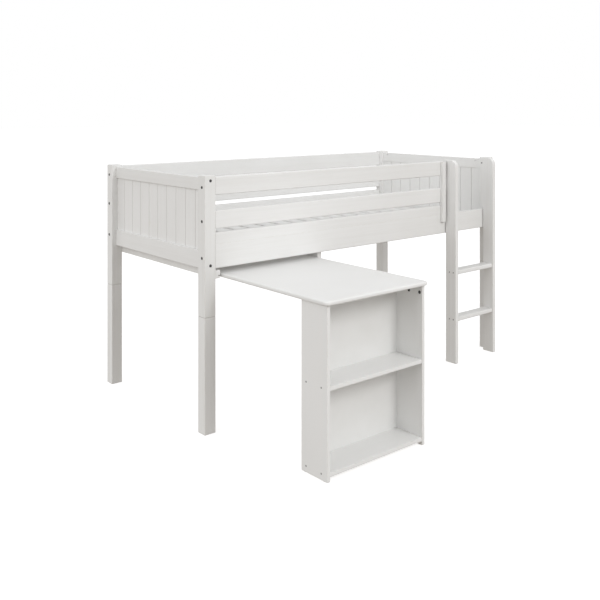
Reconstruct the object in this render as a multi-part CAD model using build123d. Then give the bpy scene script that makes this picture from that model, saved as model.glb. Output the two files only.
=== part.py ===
from build123d import *
import os

# Mid-height sleeper bed with a pull-out desk and shelf unit. Millimetres, +Z up.
# Boards are first placed from the front left post's outer corner on the floor: X runs
# along the bed, Y from its front to its back. Every solid is then moved so that the
# origin is on the floor under the middle of the whole object, with the desk pulled out.

# Overall sizes
bed_length = 2100.0
bed_width = 940.0
post_height = 1160.0

# Posts and legs
post_x = 59.0
post_y = 56.0
leg_height = 524.0
post_arris = 3.0
joint_chamfer = 2.0
stud_radius = 5.0
stud_length = 80.0

# Side rails and guards, stacked down from the tops of the posts
side_rail_thickness = 28.0
side_rail_setback = 2.0
rail_rounding = 5.0
seam_rounding = 0.6
top_reveal = 7.0
top_guard_height = 82.0
upper_gap = 71.0
middle_guard_height = 82.0
lower_gap = 17.0
lower_guard_height = 52.0
bed_rail_height = 110.0
rear_top_guard_height = 92.0
rear_middle_guard_height = 86.0
rear_lower_guard_height = 43.0
guard_dowel_radius = 4.0
guard_dowel_length = 40.0
guard_dowel_pitch = 320.0

# End frames
end_rail_thickness = 24.0
end_rail_setback = 24.0
end_top_reveal = 11.0
end_top_rail_height = 60.0
panel_height = 273.0
end_bottom_rail_height = 84.0
panel_thickness = 10.0
panel_setback = 34.0
panel_tongue = 8.0
board_pitch = 85.0
groove_width = 5.0
groove_depth = 2.5

# Slatted base
bearer_depth = 30.0
bearer_height = 36.0
bearer_lift = 6.0
slat_count = 19
slat_width = 80.0
slat_thickness = 16.0
slat_end_margin = 4.0
slat_side_gap = 2.0
slat_screw_inset = 15.0
bearer_screw_count = 6

# Frame bolts and barrel nuts
bolt_radius = 3.0
bolt_past_post = 50.0
ladder_bolt_grip_left = 47.0
bolt_head_radius = 7.0
bolt_head_height = 4.0
head_recess = 0.5
rail_bolt_inset = 24.0
rail_bolt_drop = 5.0
end_bolt_inset = 31.0
end_top_bolt_depth = 12.0
end_bottom_bolt_rise = 23.0
nut_radius = 5.0
nut_length = 15.0
nut_from_end = 45.0
nut_wall = 2.0

# Wood screws
screw_radius = 2.0
screw_head_radius = 4.0
screw_head_height = 2.5

# Clearances
bore_clearance = 0.2
seat_clearance = 0.3

# Ladder
ladder_width = 371.0
ladder_right_gap = 16.0
stile_thickness = 25.0
stile_depth = 73.0
ladder_rail_gap = 3.5
stile_hook = 20.0
stile_hook_rise = 48.0
stile_top_radius = 38.0
stile_arris = 2.5
tread_thickness = 24.0
tread_tops = (262.0, 530.0)
tread_front_setback = 6.0
tread_back_setback = 2.0
tread_rounding = 6.0
tread_screw_insets = (18.0, 46.0)
ladder_bolt_y = 8.0
ladder_bolt_drop = 32.0
ladder_bolt_grip = 19.0
spacer_radius = 5.5
guard_end_gap = 6.0

# Batten that ties the guards' free ends together
batten_width = 30.0
batten_thickness = 17.0
batten_edge_inset = 6.0
batten_overlap = 41.0
batten_screw_margin = 12.0

# Desk runners
runner_thickness = 25.0
runner_height = 37.0
runner_drop = 9.0
runner_groove_height = 10.0
runner_groove_depth = 10.0
runner_gap_left = 9.5
runner_gap_right = 3.0
runner_screw_drop = 10.0

# Desk
desk_width = 600.0
desk_depth = 900.0
desk_reach = 711.0
desktop_thickness = 18.0
desktop_drop = 27.0
desktop_corner = 22.0
desktop_rounding = 7.0
desk_side_overhang = 15.0
desk_front_overhang = 14.0
guide_pin_radius = 4.0
guide_pin_seat = 30.0
guide_pin_inset = 25.0
guide_pin_reach = 8.5
stop_screw_radius = 2.5

# Shelf unit under the front of the desk
unit_depth = 156.0
unit_board = 16.0
unit_arris = 1.5
middle_shelf_top = 373.0
bottom_shelf_top = 34.5
shelf_setback = 2.0
back_thickness = 3.2
back_rebate = 8.0
shelf_screw_front = 36.0
shelf_screw_back = 28.0
cam_radius = 7.5
cam_depth = 12.0
cam_drop = 31.0
cam_inset = 16.0
cam_count = 3
cam_dowel_radius = 3.5
cam_dowel_rise = 11.0
glide_radius = 7.0
glide_height = 1.5
glide_inset = 20.0

# Levels that follow from the sizes above
top_guard_z = post_height - top_reveal - top_guard_height
middle_guard_z = top_guard_z - upper_gap - middle_guard_height
lower_guard_z = middle_guard_z - lower_gap - lower_guard_height
bed_rail_z = lower_guard_z - bed_rail_height
end_top_z = post_height - end_top_reveal - end_top_rail_height
end_bottom_z = end_top_z - panel_height - end_bottom_rail_height
bearer_z = bed_rail_z + bearer_lift
slat_z = bearer_z + bearer_height
desktop_top = bed_rail_z - desktop_drop
desktop_z = desktop_top - desktop_thickness
runner_top = bed_rail_z - runner_drop
runner_z = runner_top - runner_height
groove_mid = desktop_z + desktop_thickness / 2

# Places that follow from the sizes above
rail_face = side_rail_setback
rail_inner = side_rail_setback + side_rail_thickness
end_inner = end_rail_setback + end_rail_thickness
right_post = bed_length - post_x
stile_right = right_post - ladder_right_gap - stile_thickness
stile_left = stile_right + stile_thickness - ladder_width
guard_end = stile_left - guard_end_gap
runner_left = post_x
runner_left_face = runner_left + runner_thickness
desk_left = runner_left_face + runner_gap_left
desk_right = desk_left + desk_width
runner_right = desk_right + runner_gap_right
unit_left = desk_left + desk_side_overhang
unit_right = desk_right - desk_side_overhang
desk_front = -desk_reach
unit_front = desk_front + desk_front_overhang
unit_back = unit_front + unit_depth
guide_pin_y = desk_front + desk_depth - guide_pin_inset
rail_bolt_levels = [
    bed_rail_z + bed_rail_height / 2 - rail_bolt_drop,
    middle_guard_z + middle_guard_height / 2 - rail_bolt_drop,
    top_guard_z + top_guard_height / 2 - rail_bolt_drop,
]
end_bolt_levels = [
    end_bottom_z + end_bottom_bolt_rise,
    end_top_z + end_top_rail_height - end_top_bolt_depth,
]

to_base_centre = Pos(-bed_length / 2, (desk_reach - bed_width) / 2, 0)


def board(x0, x1, y0, y1, z0, z1):
    middle = Pos((x0 + x1) / 2, (y0 + y1) / 2, (z0 + z1) / 2)
    return middle * Box(x1 - x0, y1 - y0, z1 - z0)


def rounded_board(x0, x1, y0, y1, z0, z1, along, radius):
    blank = board(x0, x1, y0, y1, z0, z1)
    return fillet(blank.edges().filter_by(along), radius)


def rod(start, end, radius):
    # a round bar from one point to another along one of the main axes
    path = Vector(*end) - Vector(*start)
    end_plane = Plane(origin=start, z_dir=path)
    return extrude(end_plane * Circle(radius), path.length)


def mirror_length(shape):
    return mirror(shape, about=Plane.YZ.offset(bed_length / 2))


def mirror_width(shape):
    return mirror(shape, about=Plane.XZ.offset(-bed_width / 2))


def to_corner(shape, right, rear):
    placed = mirror_length(shape) if right else shape
    return mirror_width(placed) if rear else placed


def save(name, solids):
    placed = [to_base_centre * solid for piece in solids for solid in piece.solids()]
    export_step(placed[0] if len(placed) == 1 else Compound(children=placed), f"parts/{name}.step")


def spaced(start, end, count):
    return [start + (end - start) * index / (count - 1) for index in range(count)]


def cut(blank, tools):
    for tool in tools:
        blank = blank - tool
    return blank


def headed_screw(head_point, direction, length, radius, head_radius, head_height):
    # the head's outer face is at head_point, and direction points into the wood
    way = Vector(*direction)
    start = Vector(*head_point)
    shank = rod(tuple(start), tuple(start + way * length), radius)
    return shank + rod(tuple(start), tuple(start + way * head_height), head_radius)


def screw_and_bore(head_point, direction, length, radius=screw_radius,
                   head_radius=screw_head_radius, head_height=screw_head_height):
    # the screw with the clearance bore that it lies in
    screw = headed_screw(head_point, direction, length, radius, head_radius, head_height)
    start = Vector(*head_point) - Vector(*direction) * head_recess
    bore = headed_screw(tuple(start), direction, length + 2 * head_recess, radius + bore_clearance,
                        head_radius + bore_clearance, head_height + 2 * head_recess)
    return screw, bore


# Frame bolts: one set for the front left corner, mirrored to the others

def rail_bolt(level):
    return screw_and_bore((head_recess, rail_bolt_inset, level), (1, 0, 0), post_x + bolt_past_post,
                          bolt_radius, bolt_head_radius, bolt_head_height)


def end_bolt(level):
    return screw_and_bore((end_bolt_inset, head_recess, level), (0, 1, 0), post_y + bolt_past_post,
                          bolt_radius, bolt_head_radius, bolt_head_height)


def rail_nut(level):
    # barrel nut let into the rail from its inner face, with the bolt's hole across it
    x = post_x + nut_from_end - bolt_radius
    floor = rail_inner - nut_wall - nut_length + seat_clearance
    nut = rod((x, floor, level), (x, floor + nut_length, level), nut_radius)
    hole = rod((post_x, rail_bolt_inset, level), (x + 2 * nut_radius, rail_bolt_inset, level),
               bolt_radius + bore_clearance / 2)
    pocket = rod((x, floor - seat_clearance, level), (x, rail_inner, level), nut_radius + bore_clearance)
    return nut - hole, pocket


def end_nut(level):
    y = post_y + nut_from_end - bolt_radius
    floor = end_rail_setback + nut_wall + seat_clearance
    nut = rod((floor, y, level), (floor + nut_length, y, level), nut_radius)
    hole = rod((end_bolt_inset, post_y, level), (end_bolt_inset, y + 2 * nut_radius, level),
               bolt_radius + bore_clearance / 2)
    pocket = rod((floor - seat_clearance, y, level), (end_inner, y, level), nut_radius + bore_clearance)
    return nut - hole, pocket


def rail_levels_at(right, rear):
    # the front guards stop at the ladder, so the front right post holds only the bed rail
    return rail_bolt_levels[:1] if right and not rear else rail_bolt_levels


corners = [(right, rear) for rear in (False, True) for right in (False, True)]
corner_names = ["front_left", "front_right", "rear_left", "rear_right"]
rail_fixings = [(rail_bolt(level), rail_nut(level)) for level in rail_bolt_levels]
end_fixings = [(end_bolt(level), end_nut(level)) for level in end_bolt_levels]


def ladder_bolts():
    # one bolt into the front right post, one into the free end of the top guard
    level = post_height - ladder_bolt_drop
    right_start = stile_right + head_recess
    right_length = right_post + ladder_bolt_grip - right_start
    right = screw_and_bore((right_start, ladder_bolt_y, level), (1, 0, 0), right_length, bolt_radius,
                           screw_head_radius + 1, bolt_head_height)
    left_start = stile_left + stile_thickness - head_recess
    left_length = left_start - guard_end + ladder_bolt_grip_left
    left = screw_and_bore((left_start, ladder_bolt_y, level), (-1, 0, 0), left_length, bolt_radius,
                          screw_head_radius + 1, bolt_head_height)
    return left, right


def runner_hangers():
    # the places where the right runner hangs below the slat bearers
    return [(rail_inner, rail_inner + bearer_depth),
            (bed_width - rail_inner - bearer_depth, bed_width - rail_inner)]


def runner_screw_sets():
    # the left runner's screws into the posts, and the right one's up into the bearers
    level = runner_top - runner_screw_drop
    into_posts = [screw_and_bore((runner_left_face - head_recess, y, level), (-1, 0, 0),
                                 runner_thickness + post_x * 0.5)
                  for y in (post_y * 0.7, bed_width - post_y * 0.7)]
    middle = runner_right + runner_thickness / 2
    into_bearers = [screw_and_bore((middle, (y0 + y1) / 2, runner_z + head_recess), (0, 0, 1),
                                   bearer_z - runner_z + bearer_height * 0.3)
                    for y0, y1 in runner_hangers()]
    return into_posts, into_bearers


ladder_fixings = ladder_bolts()
runner_post_fixings, runner_bearer_fixings = runner_screw_sets()


# Posts, legs and the studs that join them

def corner_post(right, rear):
    blank = board(0, post_x, 0, post_y, leg_height, post_height)
    blank = fillet(blank.edges().filter_by(Axis.Z), post_arris)
    blank = fillet(blank.edges().group_by(Axis.Z)[-1], post_arris * 0.8)
    blank = chamfer(blank.edges().group_by(Axis.Z)[0], joint_chamfer)
    count = len(rail_levels_at(right, rear))
    tools = [bore for (bolt, bore), nut in rail_fixings[:count] + end_fixings]
    tools.append(stud(bore_clearance))
    post = to_corner(cut(blank, tools), right, rear)
    if right and not rear:
        post = post - ladder_fixings[1][1]
    if not right:
        post = post - runner_post_fixings[1 if rear else 0][1]
    return post


def leg():
    blank = board(0, post_x, 0, post_y, 0, leg_height)
    blank = fillet(blank.edges().filter_by(Axis.Z), post_arris)
    blank = chamfer(blank.edges().group_by(Axis.Z)[-1], joint_chamfer)
    return blank - stud(bore_clearance)


def stud(clearance):
    half = stud_length / 2 + clearance
    return rod((post_x / 2, post_y / 2, leg_height - half), (post_x / 2, post_y / 2, leg_height + half),
               stud_radius + clearance)


def make_posts():
    for name, (right, rear) in zip(corner_names, corners):
        save(f"{name}_post", [corner_post(right, rear)])
        save(f"{name}_leg", [to_corner(leg(), right, rear)])
    save("leg_studs", [to_corner(stud(0), right, rear) for right, rear in corners])


# Side rails and guards

def guard_dowels(length_end):
    # wooden dowels that stand in the bed rail and hold the lower guard on it
    count = int((length_end - post_x) // guard_dowel_pitch)
    y = rail_face + side_rail_thickness / 2
    half = guard_dowel_length / 2
    places = spaced(post_x + guard_dowel_pitch / 2, length_end - guard_dowel_pitch / 2, count)
    bars = [rod((x, y, lower_guard_z - half), (x, y, lower_guard_z + half), guard_dowel_radius)
            for x in places]
    bores = [rod((x, y, lower_guard_z - half - head_recess), (x, y, lower_guard_z + half + head_recess),
                 guard_dowel_radius + bore_clearance) for x in places]
    return bars, bores


def side_rail(length_end, bottom, height, fixing, tools):
    # the lower guard and the bed rail meet in a tight seam, so the edges there stay nearly square
    blank = board(post_x, length_end, rail_face, rail_inner, bottom, bottom + height)
    low_edges = blank.edges().filter_by(Axis.X).group_by(Axis.Z)[0]
    blank = fillet(low_edges, seam_rounding if bottom == lower_guard_z else rail_rounding)
    high_edges = blank.edges().filter_by(Axis.X).group_by(Axis.Z)[-1]
    blank = fillet(high_edges, seam_rounding if bottom == bed_rail_z else rail_rounding)
    if fixing:
        (bolt, bore), (nut, pocket) = fixing
        tools = tools + [bore, pocket]
        if length_end == right_post:
            tools = tools + [mirror_length(bore), mirror_length(pocket)]
    return cut(blank, tools)


def batten_screws():
    x = guard_end - batten_edge_inset - batten_width / 2
    levels = [bed_rail_z + bed_rail_height - batten_overlap / 2,
              lower_guard_z + lower_guard_height / 2,
              middle_guard_z + batten_screw_margin,
              middle_guard_z + middle_guard_height - batten_screw_margin,
              top_guard_z + batten_screw_margin,
              top_guard_z + top_guard_height - batten_screw_margin]
    length = side_rail_thickness + batten_thickness * 0.7
    return [screw_and_bore((x, rail_inner - head_recess, level), (0, -1, 0), length) for level in levels]


def make_side(side, length_end, guard_heights, extra_tools):
    place = mirror_width if side == "rear" else (lambda shape: shape)
    top_height, middle_height, lower_height = guard_heights
    top_bottom = post_height - top_reveal - top_height
    middle_bottom = middle_guard_z + middle_guard_height - middle_height
    dowels, dowel_bores = guard_dowels(length_end)
    boards = {
        "bed_rail": (right_post, bed_rail_z, bed_rail_height, rail_fixings[0], dowel_bores),
        "lower_guard": (length_end, lower_guard_z, lower_height, None, dowel_bores),
        "middle_guard": (length_end, middle_bottom, middle_height, rail_fixings[1], []),
        "top_guard": (length_end, top_bottom, top_height, rail_fixings[2], []),
    }
    for name, (end, bottom, height, fixing, tools) in boards.items():
        rail = side_rail(end, bottom, height, fixing, tools + bearer_bores(name) + extra_tools)
        save(f"{side}_{name}", [place(rail)])
    return [place(dowel) for dowel in dowels]


def make_sides():
    screws = batten_screws()
    front_tools = [bore for screw, bore in screws] + [ladder_fixings[0][1]]
    front_heights = (top_guard_height, middle_guard_height, lower_guard_height)
    rear_heights = (rear_top_guard_height, rear_middle_guard_height, rear_lower_guard_height)
    front_dowels = make_side("front", guard_end, front_heights, front_tools)
    rear_dowels = make_side("rear", right_post, rear_heights, [])
    save("guard_dowels", front_dowels + rear_dowels)
    batten_right = guard_end - batten_edge_inset
    batten = rounded_board(batten_right - batten_width, batten_right, rail_face - batten_thickness, rail_face,
                           bed_rail_z + bed_rail_height - batten_overlap, post_height - top_reveal,
                           Axis.Z, post_arris)
    save("guard_end_batten", [cut(batten, [bore for screw, bore in screws])])
    save("batten_screws", [screw for screw, bore in screws])


# Bolts and nuts of the frame, all four corners

def make_fixings():
    rail_bolts = []
    end_bolts = []
    nuts = []
    for right, rear in corners:
        count = len(rail_levels_at(right, rear))
        for (bolt, bore), (nut, pocket) in rail_fixings[:count]:
            rail_bolts.append(to_corner(bolt, right, rear))
            nuts.append(to_corner(nut, right, rear))
        for (bolt, bore), (nut, pocket) in end_fixings:
            end_bolts.append(to_corner(bolt, right, rear))
            nuts.append(to_corner(nut, right, rear))
    save("side_rail_bolts", rail_bolts)
    save("end_rail_bolts", end_bolts)
    save("barrel_nuts", nuts)


# End frames: two rails with a grooved panel between them

def end_rail(bottom, height, fixing, panel_side):
    rail = rounded_board(end_rail_setback, end_inner, post_y, bed_width - post_y, bottom, bottom + height,
                         Axis.Y, rail_rounding * 0.8)
    (bolt, bore), (nut, pocket) = fixing
    tongue = panel_tongue + seat_clearance
    slot_z = bottom + height - tongue if panel_side == "above" else bottom
    slot = board(panel_setback - bore_clearance, panel_setback + panel_thickness + bore_clearance,
                 post_y, bed_width - post_y, slot_z, slot_z + tongue)
    return cut(rail, [bore, pocket, mirror_width(bore), mirror_width(pocket), slot])


def end_panel():
    x = panel_setback
    low = end_bottom_z + end_bottom_rail_height - panel_tongue
    high = end_top_z + panel_tongue
    panel = board(x, x + panel_thickness, post_y, bed_width - post_y, low, high)
    lines = int((bed_width - 2 * post_y) // board_pitch)
    middle = bed_width / 2
    first = middle - board_pitch * (lines - 1) / 2
    for index in range(lines):
        y = first + index * board_pitch
        for face in (x, x + panel_thickness):
            inward = groove_depth if face == x else -groove_depth
            outline = Polyline((face, y - groove_width / 2, low), (face + inward, y, low),
                               (face, y + groove_width / 2, low), close=True)
            panel = panel - extrude(make_face(outline), high - low, dir=(0, 0, 1))
    return panel


def make_ends():
    pieces = {
        "end_top_rail": end_rail(end_top_z, end_top_rail_height, end_fixings[1], "below"),
        "end_panel": end_panel(),
        "end_bottom_rail": end_rail(end_bottom_z, end_bottom_rail_height, end_fixings[0], "above"),
    }
    for name, piece in pieces.items():
        save(f"left_{name}", [piece])
        save(f"right_{name}", [mirror_length(piece)])


# Slatted base

def bearer_screw_set():
    places = spaced(post_x + 4 * slat_width, right_post - 4 * slat_width, bearer_screw_count)
    length = bearer_depth + side_rail_thickness * 0.6
    level = bearer_z + bearer_height / 2
    start = rail_inner + bearer_depth - head_recess
    return [screw_and_bore((x, start, level), (0, -1, 0), length) for x in places]


bearer_fixings = bearer_screw_set()


def bearer_bores(rail_name):
    return [bore for screw, bore in bearer_fixings] if rail_name == "bed_rail" else []


def make_base():
    slat_starts = spaced(post_x + slat_end_margin, right_post - slat_end_margin - slat_width, slat_count)
    screw_y = rail_inner + slat_screw_inset
    slats = []
    slat_fixings = []
    for x in slat_starts:
        fixing = screw_and_bore((x + slat_width / 2, screw_y, slat_z + slat_thickness - head_recess),
                                (0, 0, -1), slat_thickness + bearer_height * 0.4)
        slat = rounded_board(x, x + slat_width, rail_inner + slat_side_gap,
                             bed_width - rail_inner - slat_side_gap, slat_z, slat_z + slat_thickness,
                             Axis.Y, post_arris)
        slats.append(cut(slat, [fixing[1], mirror_width(fixing[1])]))
        slat_fixings.append(fixing)
    bearer = board(post_x, right_post, rail_inner, rail_inner + bearer_depth, bearer_z, slat_z)
    bearer = cut(bearer, [bore for screw, bore in slat_fixings + bearer_fixings + runner_bearer_fixings])
    save("slats", slats)
    slat_screws = [screw for screw, bore in slat_fixings]
    save("slat_screws", slat_screws + [mirror_width(screw) for screw in slat_screws])
    save("front_slat_bearer", [bearer])
    save("rear_slat_bearer", [mirror_width(bearer)])
    screws = [screw for screw, bore in bearer_fixings]
    save("bearer_screws", screws + [mirror_width(screw) for screw in screws])


# Ladder

def stile(x):
    back = rail_face - ladder_rail_gap
    front = back - stile_depth
    notch = lower_guard_z + seat_clearance
    outline = Polyline((x, front, 0), (x, back, 0), (x, back, notch),
                       (x, stile_hook, notch + stile_hook_rise), (x, stile_hook, post_height),
                       (x, front, post_height), close=True)
    blank = extrude(make_face(outline), stile_thickness, dir=(1, 0, 0))
    top_front = blank.edges().filter_by(Axis.X).group_by(Axis.Z)[-1].sort_by(Axis.Y)[0]
    blank = fillet(top_front, stile_top_radius)
    side_edges = blank.faces().filter_by(Axis.X).edges()
    return fillet(side_edges, stile_arris)


def tread_fixings(top):
    level = top - tread_thickness / 2
    grip = stile_thickness + 35.0
    front = rail_face - ladder_rail_gap - stile_depth
    fixings = []
    for inset in tread_screw_insets:
        y = front + inset
        fixings.append(screw_and_bore((stile_left + head_recess, y, level), (1, 0, 0), grip))
        right_face = stile_right + stile_thickness - head_recess
        fixings.append(screw_and_bore((right_face, y, level), (-1, 0, 0), grip))
    return fixings


def make_ladder():
    fixings = [fixing for top in tread_tops for fixing in tread_fixings(top)]
    bores = [bore for screw, bore in fixings]
    (left_bolt, left_bore), (right_bolt, right_bore) = ladder_fixings
    save("ladder_left_stile", [cut(stile(stile_left), bores + [left_bore])])
    save("ladder_right_stile", [cut(stile(stile_right), bores + [right_bore])])
    front = rail_face - ladder_rail_gap - stile_depth + tread_front_setback
    back = rail_face - ladder_rail_gap - tread_back_setback
    for name, top in zip(("ladder_lower_tread", "ladder_upper_tread"), tread_tops):
        tread = rounded_board(stile_left + stile_thickness, stile_right, front, back, top - tread_thickness,
                              top, Axis.X, tread_rounding)
        save(name, [cut(tread, bores)])
    save("ladder_screws", [screw for screw, bore in fixings])
    save("ladder_bolts", [left_bolt, right_bolt])
    level = post_height - ladder_bolt_drop
    right_spacer = rod((stile_right + stile_thickness, ladder_bolt_y, level),
                       (right_post, ladder_bolt_y, level), spacer_radius)
    left_spacer = rod((guard_end, ladder_bolt_y, level), (stile_left, ladder_bolt_y, level), spacer_radius)
    save("ladder_spacers", [left_spacer - left_bore, right_spacer - right_bore])


# Desk runners: grooved battens, the left one on the posts, the right one under the slat bearers

def runner_groove(face, inward, start, end):
    low = groove_mid - runner_groove_height / 2
    x0, x1 = sorted((face, face + inward * runner_groove_depth))
    return board(x0, x1, start, end, low, low + runner_groove_height)


def stop_fixing(x):
    # a screw down through the runner, which the guide pin meets when the desk is fully out
    y = guide_pin_y - guide_pin_radius - stop_screw_radius - 2 * bore_clearance
    return screw_and_bore((x, y, runner_top - head_recess), (0, 0, -1), runner_height * 0.8,
                          stop_screw_radius)


def make_runners():
    groove_middle = runner_groove_depth / 2
    left_stop = stop_fixing(runner_left_face - groove_middle)
    right_stop = stop_fixing(runner_right + groove_middle)
    left_blank = rounded_board(runner_left, runner_left_face, side_rail_setback,
                               bed_width - side_rail_setback, runner_z, runner_top, Axis.Y, joint_chamfer)
    left_groove = runner_groove(runner_left_face, -1, side_rail_setback, bed_width - side_rail_setback)
    left_bores = [bore for screw, bore in runner_post_fixings]
    save("left_desk_runner", [cut(left_blank, [left_groove, left_stop[1]] + left_bores)])

    hanger_bores = [bore for screw, bore in runner_bearer_fixings]
    right_blank = rounded_board(runner_right, runner_right + runner_thickness, rail_inner,
                                bed_width - rail_inner, runner_z, runner_top, Axis.Y, joint_chamfer)
    right_groove = runner_groove(runner_right, 1, rail_inner, bed_width - rail_inner)
    save("right_desk_runner", [cut(right_blank, [right_groove, right_stop[1]] + hanger_bores)])
    packers = [board(runner_right, runner_right + runner_thickness, y0, y1, runner_top, bearer_z)
               for y0, y1 in runner_hangers()]
    save("runner_packers", [cut(packer, hanger_bores) for packer in packers])
    save("runner_screws", [screw for screw, bore in runner_post_fixings + runner_bearer_fixings])
    save("runner_stop_screws", [left_stop[0], right_stop[0]])


# Desk

def unit_fixings():
    # screws through the side panels into the ends of both shelves
    grip = unit_board + 34.0
    fixings = []
    for shelf_top in (middle_shelf_top, bottom_shelf_top):
        level = shelf_top - unit_board / 2
        for y in (unit_front + shelf_screw_front, unit_back - shelf_screw_back):
            fixings.append(screw_and_bore((unit_left + head_recess, y, level), (1, 0, 0), grip))
            fixings.append(screw_and_bore((unit_right - head_recess, y, level), (-1, 0, 0), grip))
    return fixings


def cam_fixings():
    # round cams in the panels' inner faces, each with a dowel that stands up into the desktop
    level = desktop_z - cam_drop
    cams = []
    dowels = []
    bores = []
    for panel_middle, face, inward in ((unit_left + unit_board / 2, unit_left + unit_board, -1),
                                       (unit_right - unit_board / 2, unit_right - unit_board, 1)):
        for y in spaced(unit_front + cam_inset, unit_back - cam_inset, cam_count):
            inner = face + inward * cam_depth
            start = face + inward * head_recess
            cams.append(rod((start, y, level), (inner, y, level), cam_radius))
            bores.append(rod((face, y, level), (inner + inward * bore_clearance, y, level),
                             cam_radius + bore_clearance))
            foot = level + cam_radius + seat_clearance
            top = desktop_z + cam_dowel_rise
            dowels.append(rod((panel_middle, y, foot), (panel_middle, y, top), cam_dowel_radius))
            bores.append(rod((panel_middle, y, level), (panel_middle, y, top + bore_clearance),
                             cam_dowel_radius + bore_clearance))
    return cams, dowels, bores


def side_panel(x0, back_edge, tools):
    blank = board(x0, x0 + unit_board, unit_front, unit_back, glide_height, desktop_z)
    front_edges = blank.edges().filter_by(Axis.Z).group_by(Axis.Y)[0]
    panel = fillet(front_edges, unit_arris)
    rebate = board(back_edge, back_edge + back_rebate, unit_back - back_thickness, unit_back,
                   bottom_shelf_top - unit_board, desktop_z)
    return cut(panel, tools + [rebate])


def shelf(top, tools):
    blank = board(unit_left + unit_board, unit_right - unit_board, unit_front + shelf_setback,
                  unit_back - back_thickness, top - unit_board, top)
    front_edges = blank.edges().filter_by(Axis.X).group_by(Axis.Y)[0]
    return cut(fillet(front_edges, unit_arris), tools)


def desktop(tools):
    blank = board(desk_left, desk_right, desk_front, desk_front + desk_depth, desktop_z, desktop_top)
    blank = fillet(blank.edges().filter_by(Axis.Z), desktop_corner)
    rim = blank.edges().group_by(Axis.Z)[0] + blank.edges().group_by(Axis.Z)[-1]
    return cut(fillet(rim, desktop_rounding), tools)


def guide_pins():
    level = groove_mid
    ends = ((desk_left + guide_pin_seat, runner_left_face - guide_pin_reach),
            (desk_right - guide_pin_seat, runner_right + guide_pin_reach))
    pins = [rod((x0, guide_pin_y, level), (x1, guide_pin_y, level), guide_pin_radius) for x0, x1 in ends]
    bores = [rod((x0, guide_pin_y, level), (x1, guide_pin_y, level), guide_pin_radius + bore_clearance)
             for x0, x1 in ends]
    return pins, bores


def make_desk():
    fixings = unit_fixings()
    screw_bores = [bore for screw, bore in fixings]
    cams, dowels, cam_bores = cam_fixings()
    pins, pin_bores = guide_pins()
    save("desktop", [desktop(cam_bores + pin_bores)])
    left_rebate = unit_left + unit_board - back_rebate
    right_rebate = unit_right - unit_board
    save("desk_left_side", [side_panel(unit_left, left_rebate, screw_bores + cam_bores)])
    save("desk_right_side", [side_panel(unit_right - unit_board, right_rebate, screw_bores + cam_bores)])
    save("desk_middle_shelf", [shelf(middle_shelf_top, screw_bores)])
    save("desk_bottom_shelf", [shelf(bottom_shelf_top, screw_bores)])
    save("desk_back_panel", [board(left_rebate, right_rebate + back_rebate, unit_back - back_thickness,
                                   unit_back, bottom_shelf_top - unit_board, desktop_z)])
    save("shelf_screws", [screw for screw, bore in fixings])
    save("desk_cams", cams)
    save("desk_cam_dowels", dowels)
    save("desk_guide_pins", pins)
    glides = [rod((x, y, 0), (x, y, glide_height), glide_radius)
              for x in (unit_left + unit_board / 2, unit_right - unit_board / 2)
              for y in (unit_front + glide_inset, unit_back - glide_inset)]
    save("desk_glides", glides)


os.makedirs("parts", exist_ok=True)
make_posts()
make_sides()
make_fixings()
make_ends()
make_base()
make_ladder()
make_runners()
make_desk()
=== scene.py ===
import math

import bmesh
import bpy
from mathutils import Matrix, Vector


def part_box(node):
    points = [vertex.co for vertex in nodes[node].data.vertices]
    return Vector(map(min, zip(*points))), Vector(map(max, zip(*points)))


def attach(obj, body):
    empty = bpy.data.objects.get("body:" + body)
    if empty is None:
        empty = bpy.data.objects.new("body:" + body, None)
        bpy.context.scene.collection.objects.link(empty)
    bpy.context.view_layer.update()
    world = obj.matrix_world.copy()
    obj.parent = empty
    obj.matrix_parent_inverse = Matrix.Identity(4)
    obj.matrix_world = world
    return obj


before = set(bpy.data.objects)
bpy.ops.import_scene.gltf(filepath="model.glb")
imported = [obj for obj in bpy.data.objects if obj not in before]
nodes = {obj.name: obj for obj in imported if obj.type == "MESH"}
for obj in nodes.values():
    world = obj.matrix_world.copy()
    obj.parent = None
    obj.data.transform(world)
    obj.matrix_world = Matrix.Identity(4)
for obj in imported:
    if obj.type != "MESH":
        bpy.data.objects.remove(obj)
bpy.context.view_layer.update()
print("bed frame and desk loaded:", len(nodes), "pieces")


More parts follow.
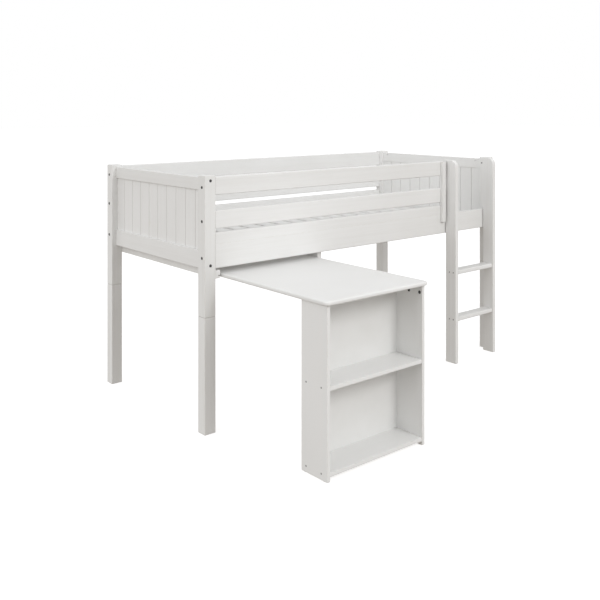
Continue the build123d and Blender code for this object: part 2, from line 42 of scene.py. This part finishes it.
class Wire:  # one socket of a material; sums and products of wires add Math nodes
    def __init__(self, tree, socket=None):
        self.tree = tree
        self.socket = socket

    def node(self, kind, settings=None, sockets=None, out=0):
        made = self.tree.nodes.new(kind)
        for key, value in (settings or {}).items():
            setattr(made, key, value)
        for key, value in (sockets or {}).items():
            if isinstance(value, Wire):
                self.tree.links.new(value.socket, made.inputs[key])
            else:
                made.inputs[key].default_value = value
        return Wire(self.tree, made.outputs[out] if len(made.outputs) else None)

    def maths(self, operation, first, second=0.0):
        return self.node("ShaderNodeMath", {"operation": operation}, {0: first, 1: second})

    def __add__(self, other):
        return self.maths("ADD", self, other)

    def __radd__(self, other):
        return self.maths("ADD", other, self)

    def __sub__(self, other):
        return self.maths("SUBTRACT", self, other)

    def __rsub__(self, other):
        return self.maths("SUBTRACT", other, self)

    def __mul__(self, other):
        return self.maths("MULTIPLY", self, other)

    def __rmul__(self, other):
        return self.maths("MULTIPLY", other, self)

    def least(self, other):
        return self.maths("MINIMUM", self, other)

    def most(self, other):
        return self.maths("MAXIMUM", self, other)

    def between(self, low, high):  # 0 below low, 1 above high, smooth in between
        return self.node("ShaderNodeMapRange", {"interpolation_type": "SMOOTHSTEP"},
                         {"Value": self, "From Min": low, "From Max": high})

    def tint(self, under, over):  # this wire is how much of the second colour lies over the first
        return self.node("ShaderNodeMix", {"data_type": "RGBA"}, {0: self, 6: under, 7: over}, out=2)

    def noise(self, stretch, shift, detail=4.0, rough=0.55, twist=0.0):  # this wire is the place
        spot = self.node("ShaderNodeMapping", None,
                         {"Vector": self, "Location": shift, "Scale": stretch})
        return spot.node("ShaderNodeTexNoise", None,
                         {"Vector": spot, "Scale": 1.0, "Detail": detail, "Roughness": rough,
                          "Distortion": twist})


def colour(red, green, blue):
    return (red, green, blue, 1.0)


def startMaterial(name):
    material = bpy.data.materials.new(name)
    material.use_nodes = True
    material.node_tree.nodes.clear()
    start = Wire(material.node_tree)
    return material, start, start.node("ShaderNodeTexCoord", out="Object")


def endMaterial(start, baseColour, roughness, height, sockets):
    # height is in metres, so the relief has its true size
    relief = start.node("ShaderNodeBump", None, {"Strength": 1.0, "Distance": 1.0, "Height": height})
    shader = start.node("ShaderNodeBsdfPrincipled", None,
                        {"Base Color": baseColour, "Roughness": roughness, "Normal": relief, **sockets})
    start.node("ShaderNodeOutputMaterial", None, {"Surface": shader})


def along(axis, lengthwise, across):
    return tuple(lengthwise if index == axis else across for index in range(3))


def evenly(stretch):
    return (stretch, stretch, stretch)


def edgeGaps(place, low, high):
    # distances in from the box's faces, one per axis
    parts = place.node("ShaderNodeSeparateXYZ", None, {0: place})
    axes = [Wire(place.tree, parts.socket.node.outputs[index]) for index in range(3)]
    return [(axes[index] - low[index]).least(high[index] - axes[index]) for index in range(3)]


paint = {
    "light": colour(0.83, 0.83, 0.825),
    "deep": colour(0.785, 0.785, 0.775),
    "grain": colour(0.70, 0.69, 0.665),
    "worn": colour(0.72, 0.70, 0.66),
    # the seam colour also serves as the painted shade in the panels' V-grooves
    "seam": colour(0.30, 0.28, 0.26),
    "knot": colour(0.74, 0.70, 0.60),
    "broadGrain": (1.1, 38.0),
    "fineGrain": (5.0, 310.0),
    "knotGrain": (7.0, 17.0),
    "cloudiness": 2.3,
    "rollerDots": 620.0,
    "wearPatches": 46.0,
    "roughness": 0.36,
    "arrisWidth": 0.0045,
    "seamWidth": 0.0014,
    "grainRelief": 0.00007,
    "rollerRelief": 0.000014,
    "groovePitch": 0.085,
    "grooveReach": 0.0030,
}


def paintedBoard(name, grainAxis, low, high, grainShow, tone, seamAxis=None):
    # satin paint over pine or fibreboard, with the grain's ghost, roller texture and thin arrises
    material, start, place = startMaterial(name)
    shift = (tone * 3.1, tone * 7.7, tone * 5.3)
    broad = place.noise(along(grainAxis, *paint["broadGrain"]), shift, 5.0, 0.6, 0.4)
    fine = place.noise(along(grainAxis, *paint["fineGrain"]), shift, 4.0, 0.6, 0.2)
    cloud = place.noise(evenly(paint["cloudiness"]), shift, 3.0, 0.5)
    roller = place.noise(evenly(paint["rollerDots"]), shift, 2.0, 0.5)
    knots = place.noise(along(grainAxis, *paint["knotGrain"]), shift, 1.0, 0.4).between(0.755, 0.80)
    gaps = edgeGaps(place, low, high)
    nearEdge = gaps[0].least(gaps[1]).most(gaps[0].most(gaps[1]).least(gaps[2]))
    arris = 1.0 - nearEdge.between(0.0006, paint["arrisWidth"])
    patchy = place.noise(evenly(paint["wearPatches"]), shift, 3.0, 0.6).between(0.42, 0.62)
    streak = (broad.between(0.42, 0.66) * 0.6 + fine.between(0.45, 0.68) * 0.4) * grainShow
    shade = (cloud.between(0.3, 0.7) * 0.55 + tone * 0.4).tint(paint["light"], paint["deep"])
    shade = (streak * 0.34).tint(shade, paint["grain"])
    shade = (knots * (0.30 * grainShow)).tint(shade, paint["knot"])
    shade = (arris * patchy * 0.38).tint(shade, paint["worn"])
    if seamAxis is not None:
        seam = 1.0 - gaps[seamAxis].between(paint["seamWidth"] * 0.4, paint["seamWidth"])
        shade = (seam * 0.7).tint(shade, paint["seam"])
    if "panel" in name:
        # the panels' V-grooves run out from their middle at an even pitch; painted shade darkens each groove
        parts = place.node("ShaderNodeSeparateXYZ", None, {0: place}, out=1)
        offset = parts - (low[1] + high[1]) / 2.0
        fromGroove = place.maths("PINGPONG", offset, paint["groovePitch"] / 2.0)
        paintedGrooveShade = 1.0 - fromGroove.between(0.0004, paint["grooveReach"])
        shade = (paintedGrooveShade * 0.36).tint(shade, paint["seam"])
    roughness = paint["roughness"] + streak * 0.10 + cloud * 0.06 + arris * patchy * 0.10
    height = (broad * 0.5 + fine * 0.5) * (paint["grainRelief"] * grainShow) + roller * paint["rollerRelief"]
    endMaterial(start, shade, roughness, height, {"Coat Weight": 0.12, "Coat Roughness": 0.25})
    return material


pine = {
    "early": colour(0.74, 0.58, 0.38),
    "late": colour(0.56, 0.37, 0.19),
    "knot": colour(0.26, 0.13, 0.06),
    "rings": 7.0,
    "ringGrain": (0.9, 11.0),
    "fibreGrain": (8.0, 520.0),
    "knotGrain": (6.0, 15.0),
    "roughness": 0.62,
    "relief": 0.00012,
}


def barePine(name, grainAxis):
    # planed pine with growth rings, knots and a little fuzz
    material, start, place = startMaterial(name)
    rings = place.noise(along(grainAxis, *pine["ringGrain"]), (1.7, 2.9, 4.1), 3.0, 0.5, 0.5)
    band = place.maths("PINGPONG", rings * pine["rings"], 0.5) * 2.0
    late = band.between(0.55, 0.98)
    fibre = place.noise(along(grainAxis, *pine["fibreGrain"]), (0.4, 0.8, 0.1), 3.0, 0.6)
    knots = place.noise(along(grainAxis, *pine["knotGrain"]), (5.0, 1.0, 3.0), 1.0, 0.4).between(0.74, 0.78)
    shade = (late * 0.75).tint(pine["early"], pine["late"])
    shade = (fibre.between(0.4, 0.7) * 0.25).tint(shade, pine["late"])
    shade = knots.tint(shade, pine["knot"])
    roughness = pine["roughness"] + fibre * 0.14 - late * 0.08
    endMaterial(start, shade, roughness, (late * 0.4 + fibre * 0.6) * pine["relief"], {})
    return material


hardboard = {
    "face": colour(0.80, 0.80, 0.79),
    "mottled": colour(0.76, 0.76, 0.745),
    "mottling": 9.0,
    "dimples": 900.0,
    "roughness": 0.48,
}


def facedBoard(name):
    # thin hardboard with a printed white face: faint mottling and a fine dimpled texture
    material, start, place = startMaterial(name)
    mottle = place.noise(evenly(hardboard["mottling"]), (3.0, 1.0, 2.0), 4.0, 0.6)
    dimple = place.noise(evenly(hardboard["dimples"]), (0.0, 0.0, 0.0), 2.0, 0.5)
    shade = (mottle.between(0.3, 0.7) * 0.5).tint(hardboard["face"], hardboard["mottled"])
    endMaterial(start, shade, hardboard["roughness"] + mottle * 0.12, dimple * 0.00002 + mottle * 0.00003, {})
    return material


def metal(name, bright, dull, roughness, metallic, scratch):
    # plated or blackened steel, blotchy, with fine turning marks
    material, start, place = startMaterial(name)
    blotch = place.noise(evenly(160.0), (1.0, 2.0, 3.0), 4.0, 0.6)
    marks = place.noise(along(0, 40.0, 1900.0), (0.0, 0.5, 0.2), 2.0, 0.5)
    shade = blotch.between(0.35, 0.68).tint(bright, dull)
    endMaterial(start, shade, roughness + blotch * 0.18 + marks * 0.06, marks * scratch + blotch * scratch,
                {"Metallic": metallic})
    return material


def plastic(name, base, flecked, roughness):
    material, start, place = startMaterial(name)
    grain = place.node("ShaderNodeTexVoronoi", None, {"Vector": place, "Scale": 1500.0})
    haze = place.noise(evenly(70.0), (0.0, 0.0, 0.0), 3.0, 0.5)
    shade = haze.between(0.35, 0.7).tint(base, flecked)
    endMaterial(start, shade, roughness + haze * 0.12, grain * 0.00003, {})
    return material


# How each node's board lies: 0 along the bed, 1 across it, 2 upright. The second number is
# how strongly the wood's grain shows through the paint, the third where its end seams are.
boardLie = {
    "front_left_post": (2, 1.0, None), "front_right_post": (2, 1.0, None),
    "rear_left_post": (2, 1.0, None), "rear_right_post": (2, 1.0, None),
    "front_left_leg": (2, 1.0, 2), "front_right_leg": (2, 1.0, 2),
    "rear_left_leg": (2, 1.0, 2), "rear_right_leg": (2, 1.0, 2),
    "front_bed_rail": (0, 0.8, 0), "rear_bed_rail": (0, 0.8, 0),
    "front_lower_guard": (0, 0.8, 0), "rear_lower_guard": (0, 0.8, 0),
    "front_middle_guard": (0, 0.8, 0), "rear_middle_guard": (0, 0.8, 0),
    "front_top_guard": (0, 0.8, 0), "rear_top_guard": (0, 0.8, 0),
    "guard_end_batten": (2, 0.9, None),
    "left_end_top_rail": (1, 0.8, 1), "right_end_top_rail": (1, 0.8, 1),
    "left_end_bottom_rail": (1, 0.8, 1), "right_end_bottom_rail": (1, 0.8, 1),
    "left_end_panel": (2, 0.5, None), "right_end_panel": (2, 0.5, None),
    "left_desk_runner": (1, 0.9, None), "right_desk_runner": (1, 0.9, None),
    "runner_packers": (0, 0.9, None),
    "slats": (1, 0.9, None), "front_slat_bearer": (0, 0.9, None), "rear_slat_bearer": (0, 0.9, None),
    "ladder_left_stile": (2, 0.9, None), "ladder_right_stile": (2, 0.9, None),
    "ladder_lower_tread": (0, 0.9, 0), "ladder_upper_tread": (0, 0.9, 0),
    "desktop": (0, 0.05, None),
    "desk_left_side": (2, 0.05, None), "desk_right_side": (2, 0.05, None),
    "desk_middle_shelf": (0, 0.05, 0), "desk_bottom_shelf": (0, 0.05, 0),
}
otherFinish = {
    "guard_dowels": barePine("beechGuardDowels", 2),
    "desk_cam_dowels": barePine("beechCamDowels", 2),
    "desk_back_panel": facedBoard("whiteHardboard"),
    "desk_glides": plastic("blackGlidePlastic", colour(0.03, 0.03, 0.03), colour(0.05, 0.05, 0.05), 0.42),
    "ladder_spacers": plastic("whiteSpacerPlastic", colour(0.8, 0.8, 0.79), colour(0.7, 0.7, 0.69), 0.4),
}
blackSteel = metal("blackenedSteel", colour(0.05, 0.05, 0.053), colour(0.10, 0.098, 0.095), 0.34, 0.7,
                   0.000012)
greySteel = metal("dullNickelSteel", colour(0.36, 0.35, 0.34), colour(0.24, 0.235, 0.23), 0.40, 0.8, 0.00001)
zincSteel = metal("zincPlatedSteel", colour(0.68, 0.69, 0.70), colour(0.46, 0.46, 0.45), 0.22, 1.0, 0.00001)
whiteCover = plastic("whiteCoverPlastic", colour(0.83, 0.83, 0.82), colour(0.78, 0.78, 0.77), 0.38)
blackNodes = ["side_rail_bolts", "end_rail_bolts", "desk_cams"]
greyNodes = ["ladder_screws", "ladder_bolts", "shelf_screws"]

for index, name in enumerate(sorted(nodes)):
    piece = nodes[name]
    if name in boardLie:
        grainAxis, grainShow, seamAxis = boardLie[name]
        low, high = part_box(name)
        tone = (index * 0.618) % 1.0  # each board takes the paint a little differently
        finish = paintedBoard("satinWhite_" + name, grainAxis, low, high, grainShow, tone, seamAxis)
    elif name in otherFinish:
        finish = otherFinish[name]
    elif name in blackNodes + greyNodes:
        finish = blackSteel if name in blackNodes else greySteel
    else:
        finish = zincSteel
    piece.data.materials.clear()
    piece.data.materials.append(finish)
print("paint, pine, steel and plastic made")


def solidsOf(name):
    # corner points of each separate solid of a node
    work = bmesh.new()
    work.from_mesh(nodes[name].data)
    bmesh.ops.remove_doubles(work, verts=work.verts, dist=0.000002)
    found = []
    seen = set()
    for first in work.verts:
        if first in seen:
            continue
        group = [first]
        seen.add(first)
        for corner in group:
            for edge in corner.link_edges:
                other = edge.other_vert(corner)
                if other not in seen:
                    seen.add(other)
                    group.append(other)
        found.append([corner.co.copy() for corner in group])
    work.free()
    return found


def endFaces(points, axis):
    # the two end faces of a turned piece: middle, way out and radius
    low = min(point[axis] for point in points)
    high = max(point[axis] for point in points)
    ends = []
    for level, sign in ((low, -1.0), (high, 1.0)):
        rim = [point for point in points if abs(point[axis] - level) < 0.00005]
        middle = sum(rim, Vector()) / len(rim)
        way = Vector([sign if index == axis else 0.0 for index in range(3)])
        ends.append((middle, way, max((point - middle).length for point in rim)))
    return ends


def longAxis(points):
    spans = [max(p[axis] for p in points) - min(p[axis] for p in points) for axis in range(3)]
    return spans.index(max(spans))


def headPlaces(name, axis=None, towards=None):
    # one place per solid: the end with the wider head, or the end nearer to a given point
    places = []
    for points in solidsOf(name):
        ends = endFaces(points, longAxis(points) if axis is None else axis)
        if towards is None:
            places.append(max(ends, key=lambda end: end[2]))
        else:
            places.append(min(ends, key=lambda end: (end[0] - towards).length))
    return places


def addRing(work, sides, radius, height, waist=1.0):
    ring = bmesh.ops.create_circle(work, cap_ends=False, segments=sides, radius=radius)["verts"]
    for index, corner in enumerate(ring):
        if index % 2:
            corner.co *= waist
    bmesh.ops.translate(work, verts=ring, vec=(0.0, 0.0, height))
    edges = list({edge for corner in ring for edge in corner.link_edges})
    return ring, edges


def addHead(work, place, shape):
    # a turned head with a driving socket sunk in its top
    middle, way, radius = place
    made = []
    loops = []
    for share, height in shape["profile"]:
        ring, edges = addRing(work, shape["sides"], radius * share, height)
        made += ring
        loops.append(edges)
    top = shape["profile"][-1][1]
    for height in (top, top - shape["socketDepth"]):
        ring, edges = addRing(work, shape["socketSides"], radius * shape["socketShare"], height,
                              shape["socketWaist"])
        made += ring
        loops.append(edges)
    for lower, upper in zip(loops, loops[1:]):
        bmesh.ops.bridge_loops(work, edges=lower + upper)
    bmesh.ops.contextual_create(work, geom=loops[-1])
    turn = way.to_track_quat("Z", "Y").to_matrix().to_4x4()
    bmesh.ops.transform(work, matrix=Matrix.Translation(middle) @ turn, verts=made)


def makeHeads(name, places, shape, body, finish):
    work = bmesh.new()
    for place in places:
        addHead(work, place, shape)
    bmesh.ops.recalc_face_normals(work, faces=work.faces)
    mesh = bpy.data.meshes.new(name)
    work.to_mesh(mesh)
    work.free()
    mesh.materials.append(finish)
    for face in mesh.polygons:
        face.use_smooth = len(face.vertices) == 4
    heads = bpy.data.objects.new(name, mesh)
    bpy.context.scene.collection.objects.link(heads)
    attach(heads, body)


capHead = {
    "sides": 28, "profile": [(0.97, -0.0004), (0.97, 0.0006), (0.90, 0.0013), (0.72, 0.0018)],
    "socketSides": 6, "socketShare": 0.42, "socketWaist": 1.0, "socketDepth": 0.0014,
}
crossHead = {
    "sides": 24, "profile": [(0.96, -0.0004), (0.96, 0.0003), (0.84, 0.0008), (0.68, 0.0010)],
    "socketSides": 8, "socketShare": 0.56, "socketWaist": 0.36, "socketDepth": 0.0011,
}
camFace = {
    "sides": 32, "profile": [(0.98, -0.0003), (0.98, 0.0003), (0.92, 0.0006)],
    "socketSides": 8, "socketShare": 0.48, "socketWaist": 0.30, "socketDepth": 0.0008,
}
coverFace = {
    "sides": 32, "profile": [(1.0, -0.0003), (1.0, 0.0012), (0.94, 0.0016)],
    "socketSides": 12, "socketShare": 0.30, "socketWaist": 1.0, "socketDepth": 0.0003,
}

bedMiddle = sum(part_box("slats"), Vector()) / 2.0
unitMiddle = sum(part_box("desk_middle_shelf"), Vector()) / 2.0
makeHeads("sideBoltCaps", headPlaces("side_rail_bolts"), capHead, "bed_frame", blackSteel)
makeHeads("endBoltCaps", headPlaces("end_rail_bolts"), capHead, "bed_frame", blackSteel)
makeHeads("ladderBoltCaps", headPlaces("ladder_bolts"), capHead, "bed_frame", greySteel)
makeHeads("ladderScrewHeads", headPlaces("ladder_screws"), crossHead, "bed_frame", greySteel)
makeHeads("slatScrewHeads", headPlaces("slat_screws"), crossHead, "bed_frame", zincSteel)
makeHeads("bearerScrewHeads", headPlaces("bearer_screws"), crossHead, "bed_frame", zincSteel)
makeHeads("battenScrewHeads", headPlaces("batten_screws"), crossHead, "bed_frame", zincSteel)
makeHeads("runnerScrewHeads", headPlaces("runner_screws"), crossHead, "bed_frame", zincSteel)
makeHeads("barrelNutCovers", headPlaces("barrel_nuts", towards=bedMiddle), coverFace, "bed_frame",
          whiteCover)
makeHeads("shelfScrewHeads", headPlaces("shelf_screws"), crossHead, "desk", greySteel)
makeHeads("deskCamFaces", headPlaces("desk_cams", axis=0, towards=unitMiddle), camFace, "desk", blackSteel)
print("bolt caps, screw heads and cam faces made")


floorLook = {"half": 45.0, "drop": 0.0008, "colour": colour(0.55, 0.55, 0.55),
             "patches": colour(0.53, 0.53, 0.53), "glow": 0.72}


def makeFloor():
    work = bmesh.new()
    bmesh.ops.create_grid(work, x_segments=1, y_segments=1, size=floorLook["half"])
    bmesh.ops.translate(work, verts=work.verts, vec=(0.0, 0.0, -floorLook["drop"]))
    mesh = bpy.data.meshes.new("studioFloor")
    work.to_mesh(mesh)
    work.free()
    material, start, place = startMaterial("studioFloor")
    mottle = place.noise(evenly(0.6), (0.0, 0.0, 0.0), 2.0, 0.5)
    shade = (mottle * 0.2).tint(floorLook["colour"], floorLook["patches"])
    shader = start.node("ShaderNodeBsdfPrincipled", None, {
        "Base Color": shade, "Roughness": 0.9, "Specular IOR Level": 0.0,
        "Emission Color": colour(1.0, 1.0, 1.0), "Emission Strength": floorLook["glow"]})
    start.node("ShaderNodeOutputMaterial", None, {"Surface": shader})
    mesh.materials.append(material)
    floor = bpy.data.objects.new("studioFloor", mesh)
    bpy.context.scene.collection.objects.link(floor)
    floor.visible_diffuse = False  # the room's light from below takes its place


room = {"above": 0.79, "below": 0.24, "warm": colour(1.0, 0.86, 0.70), "fade": (-0.42, 0.16), "seen": 1.0}


def makeRoom():
    # an even white room, darker and warmer below; what is seen behind the bed is plain white
    world = bpy.data.worlds.new("studioRoom")
    bpy.context.scene.world = world
    world.use_nodes = True
    world.node_tree.nodes.clear()
    start = Wire(world.node_tree)
    way = start.node("ShaderNodeTexCoord", out="Generated")
    parts = way.node("ShaderNodeSeparateXYZ", None, {0: way}, out=2)
    up = parts.between(*room["fade"])
    glow = up * (room["above"] - room["below"]) + room["below"]
    lit = start.node("ShaderNodeBackground", None,
                     {"Color": up.tint(room["warm"], colour(1.0, 1.0, 1.0)), "Strength": glow})
    seen = start.node("ShaderNodeBackground", None, {"Color": colour(1, 1, 1), "Strength": room["seen"]})
    direct = start.node("ShaderNodeLightPath", out="Is Camera Ray")
    both = start.node("ShaderNodeMixShader", None, {0: direct, 1: lit, 2: seen})
    start.node("ShaderNodeOutputWorld", None, {"Surface": both})


keyLight = {"from": Vector((0.4, -7.2, 4.8)), "size": 2.6, "power": 214.0}
sideLight = {"from": Vector((-11.0, -0.6, 4.6)), "size": 6.0, "power": 268.0}


def makeLight(name, light, aim):
    lamp = bpy.data.lights.new(name, "AREA")
    lamp.shape = "SQUARE"
    lamp.size = light["size"]
    lamp.energy = light["power"]
    holder = bpy.data.objects.new(name, lamp)
    holder.location = light["from"]
    holder.rotation_euler = (aim - light["from"]).to_track_quat("-Z", "Y").to_euler()
    bpy.context.scene.collection.objects.link(holder)


view = {"place": (-3.0806, -3.1854, 1.4784), "turn": -40.11, "lens": 49.108, "sensor": 36.0,
        "shiftY": -0.3252}


def makeCamera():
    data = bpy.data.cameras.new("studioCamera")
    data.lens = view["lens"]
    data.sensor_width = view["sensor"]
    data.shift_y = view["shiftY"]
    data.clip_start = 0.05
    data.clip_end = 200.0
    data.dof.use_dof = False
    camera = bpy.data.objects.new("studioCamera", data)
    camera.location = view["place"]
    camera.rotation_euler = (math.radians(90.0), 0.0, math.radians(view["turn"]))
    bpy.context.scene.collection.objects.link(camera)
    bpy.context.scene.camera = camera


makeFloor()
makeRoom()
makeLight("keyLight", keyLight, bedMiddle)
makeLight("sideLight", sideLight, bedMiddle)
makeCamera()
bpy.context.scene.view_settings.view_transform = "Standard"
print("floor, room, lights and camera set")
